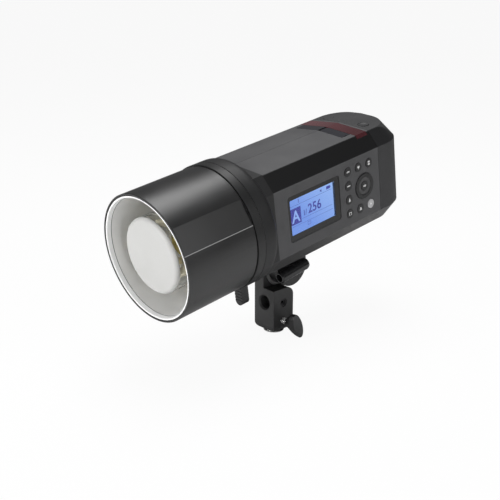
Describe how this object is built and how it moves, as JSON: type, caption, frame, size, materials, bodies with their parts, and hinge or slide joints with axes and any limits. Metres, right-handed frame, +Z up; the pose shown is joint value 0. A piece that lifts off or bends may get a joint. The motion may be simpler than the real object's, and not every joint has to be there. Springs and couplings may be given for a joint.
{
  "type": "monolight strobe",
  "caption": "Battery studio flash head with a round bell reflector, side control panel with display and dial, slide-off battery and a tilting stand bracket.",
  "frame": {"origin": "centre of the stand socket's mouth, at the underside of the stand bracket", "axes": "+Z up out of the stand, -Y the way the light leaves (the head is pitched with its mouth down), +X towards the control panel"},
  "size_m": [0.1486, 0.3828, 0.2485],
  "materials": {
    "bracket_block": "satin dark grey powder coat on a die casting",
    "bracket_metal": "bright machined steel",
    "washer_fibre": "matte fibre friction washer",
    "black_steel": "satin black oxide steel",
    "clamp_bar": "glossy black moulded bar",
    "wing": "satin dark moulded wing",
    "tilt_mount": "satin dark powder coat",
    "reflector_skin": "satin dark grey paint on spun aluminium",
    "reflector_silver": "bright satin reflector surface with a white lip",
    "collar": "satin dark mounting ring",
    "front_casting": "satin dark grey moulded front shoulder",
    "lever": "semi-gloss black release lever",
    "lamp_base": "white heat-proof plate",
    "dome_glass": "clear cup of glass with a frosted front disc",
    "spring_metal": "bright spring clip",
    "tube_glass": "flash tube glass with a warm tint",
    "ceramic": "white ceramic",
    "led": "yellow phosphor light source",
    "heat_sink": "plain extruded aluminium",
    "case_skin": "fine-grained dark grey moulding with a darker band along the edges",
    "frame_black": "matte black moulding",
    "bezel": "glossy black panel",
    "display_cover": "clear display window",
    "display_panel": "lit blue display",
    "board": "green printed circuit board",
    "key_black": "satin black key with a white sign",
    "key_white": "pale translucent key",
    "dial_black": "satin black dial",
    "encoder": "plated encoder body",
    "strip_gloss": "glossy dark trim",
    "red_window": "glossy dark red infrared window",
    "port_metal": "port block of plated shells on a carrier",
    "capacitor": "dark sleeved flash capacitors",
    "battery_skin": "fine-grained dark battery cap",
    "battery_inner": "matte black battery sleeve",
    "cells": "wrapped lithium cells",
    "button_dark": "satin dark button",
    "light_dots": "small clear light pipes"
  },
  "bodies": {
    "stand_bracket": {"stand_block": "bracket_block", "stand_bush": "bracket_metal", "rosette_washer": "washer_fibre", "tilt_bolt": "black_steel"},
    "wing": {"wing_screw": "bracket_metal", "wing_knob": "wing"},
    "cross_screw": {"cross_set_screw": "black_steel"},
    "tilt_handle": {"tilt_handle": "clamp_bar"},
    "head": {"tilt_mount": "tilt_mount", "mount_screws": "black_steel", "collar_ring": "collar", "front_housing": "front_casting", "lever_pin": "bracket_metal", "lamp_base": "lamp_base", "glass_dome": "dome_glass", "dome_clip_ring": "spring_metal", "flash_tube": "tube_glass", "tube_socket": "ceramic", "modelling_lamp": "led", "heat_sink": "heat_sink", "case_left": "case_skin", "case_right": "case_skin", "case_screws": "black_steel", "rear_frame": "frame_black", "contact_block": "frame_black", "display_bezel": "bezel", "display_glass": "display_cover", "display_module": "display_panel", "control_board": "board", "dial_encoder": "encoder", "sensor_trim": "strip_gloss", "red_window": "red_window", "flap_pin": "bracket_metal", "port_block": "port_metal", "sensor_board": "board", "capacitors": "capacitor", "main_board": "board", "charger_board": "board", "fan_frame": "frame_black"},
    "reflector": {"reflector_shell": "reflector_skin", "reflector_liner": "reflector_silver"},
    "release_lever": {"release_lever": "lever"},
    "dial": {"dial_ring": "dial_black"},
    "set_key_body": {"set_key": "dial_black"},
    "port_flap_body": {"port_flap": "strip_gloss"},
    "fan": {"fan_rotor": "frame_black"},
    "battery": {"battery_cap": "battery_skin", "battery_core": "battery_inner", "battery_cells": "cells", "level_lights": "light_dots"},
    "release_button_body": {"release_button": "button_dark"},
    "level_button_body": {"level_button": "button_dark"},
    "key_top_left_body": {"key_top_left": "key_black"},
    "key_top_middle_body": {"key_top_middle": "key_black"},
    "key_top_right_body": {"key_top_right": "key_black"},
    "key_left_upper_body": {"key_left_upper": "key_black"},
    "key_left_lower_body": {"key_left_lower": "key_black"},
    "key_bottom_left_body": {"key_bottom_left": "key_black"},
    "key_bottom_middle_body": {"key_bottom_middle": "key_black"},
    "test_key_body": {"test_key": "key_white"}
  },
  "joints": [
    {"name": "head_tilt", "type": "hinge", "parent": "stand_bracket", "child": "head", "pos_m": [0, 0.014, 0.082], "axis": [1, 0, 0], "range_deg": [-80, 27]},
    {"name": "tilt_handle_turn", "type": "hinge", "parent": "head", "child": "tilt_handle", "pos_m": [0.0241, 0.014, 0.082], "axis": [1, 0, 0], "range_deg": [0, 180]},
    {"name": "wing_turn", "type": "hinge", "parent": "stand_bracket", "child": "wing", "pos_m": [0.03, 0, 0.016], "axis": [1, 0, 0], "range_deg": [-360, 0]},
    {"name": "cross_screw_turn", "type": "hinge", "parent": "stand_bracket", "child": "cross_screw", "pos_m": [0.013, 0, 0.0391], "axis": [1, 0, 0], "range_deg": [-360, 0]},
    {"name": "reflector_twist", "type": "hinge", "parent": "head", "child": "reflector", "pos_m": [0, -0.09705, 0.15001], "axis": [0, 0.9903, 0.1392], "range_deg": [0, 34]},
    {"name": "release_lever_pull", "type": "hinge", "parent": "head", "child": "release_lever", "pos_m": [0, -0.05939, 0.10481], "axis": [1, 0, 0], "range_deg": [0, 8], "stiffness_Nm_per_rad": 0.8, "springref_deg": -2.86},
    {"name": "dial_turn", "type": "hinge", "parent": "head", "child": "dial", "pos_m": [0.06, 0.09033, 0.17695], "axis": [1, 0, 0], "continuous": true},
    {"name": "key_top_left_press", "type": "slide", "parent": "head", "child": "key_top_left_body", "axis": [-1, 0, 0], "range_m": [0, 0.0008], "stiffness_N_per_m": 800, "springref_m": -0.0005},
    {"name": "key_top_middle_press", "type": "slide", "parent": "head", "child": "key_top_middle_body", "axis": [-1, 0, 0], "range_m": [0, 0.0008], "stiffness_N_per_m": 800, "springref_m": -0.0005},
    {"name": "key_top_right_press", "type": "slide", "parent": "head", "child": "key_top_right_body", "axis": [-1, 0, 0], "range_m": [0, 0.0008], "stiffness_N_per_m": 800, "springref_m": -0.0005},
    {"name": "key_left_upper_press", "type": "slide", "parent": "head", "child": "key_left_upper_body", "axis": [-1, 0, 0], "range_m": [0, 0.0008], "stiffness_N_per_m": 800, "springref_m": -0.0005},
    {"name": "key_left_lower_press", "type": "slide", "parent": "head", "child": "key_left_lower_body", "axis": [-1, 0, 0], "range_m": [0, 0.0008], "stiffness_N_per_m": 800, "springref_m": -0.0005},
    {"name": "key_bottom_left_press", "type": "slide", "parent": "head", "child": "key_bottom_left_body", "axis": [-1, 0, 0], "range_m": [0, 0.0008], "stiffness_N_per_m": 800, "springref_m": -0.0005},
    {"name": "key_bottom_middle_press", "type": "slide", "parent": "head", "child": "key_bottom_middle_body", "axis": [-1, 0, 0], "range_m": [0, 0.0008], "stiffness_N_per_m": 800, "springref_m": -0.0005},
    {"name": "test_key_press", "type": "slide", "parent": "head", "child": "test_key_body", "axis": [-1, 0, 0], "range_m": [0, 0.0008], "stiffness_N_per_m": 800, "springref_m": -0.0005},
    {"name": "set_key_press", "type": "slide", "parent": "head", "child": "set_key_body", "axis": [-1, 0, 0], "range_m": [0, 0.0008], "stiffness_N_per_m": 800, "springref_m": -0.0005},
    {"name": "flap_open", "type": "hinge", "parent": "head", "child": "port_flap_body", "pos_m": [0.0016, 0.07967, 0.23624], "axis": [0, -0.9903, -0.1392], "range_deg": [0, 100]},
    {"name": "fan_spin", "type": "hinge", "parent": "head", "child": "fan", "pos_m": [-0.005, 0.04159, 0.16949], "axis": [0, 0.9903, 0.1392], "continuous": true},
    {"name": "battery_slide", "type": "slide", "parent": "head", "child": "battery", "axis": [0, 0.9903, 0.1392], "range_m": [0, 0.068]},
    {"name": "release_button_press", "type": "slide", "parent": "battery", "child": "release_button_body", "axis": [0, 0.1392, -0.9903], "range_m": [0, 0.0015], "stiffness_N_per_m": 700, "springref_m": -0.0005},
    {"name": "level_button_press", "type": "slide", "parent": "battery", "child": "level_button_body", "axis": [0, 0.1392, -0.9903], "range_m": [0, 0.001], "stiffness_N_per_m": 700, "springref_m": -0.0005}
  ]
}
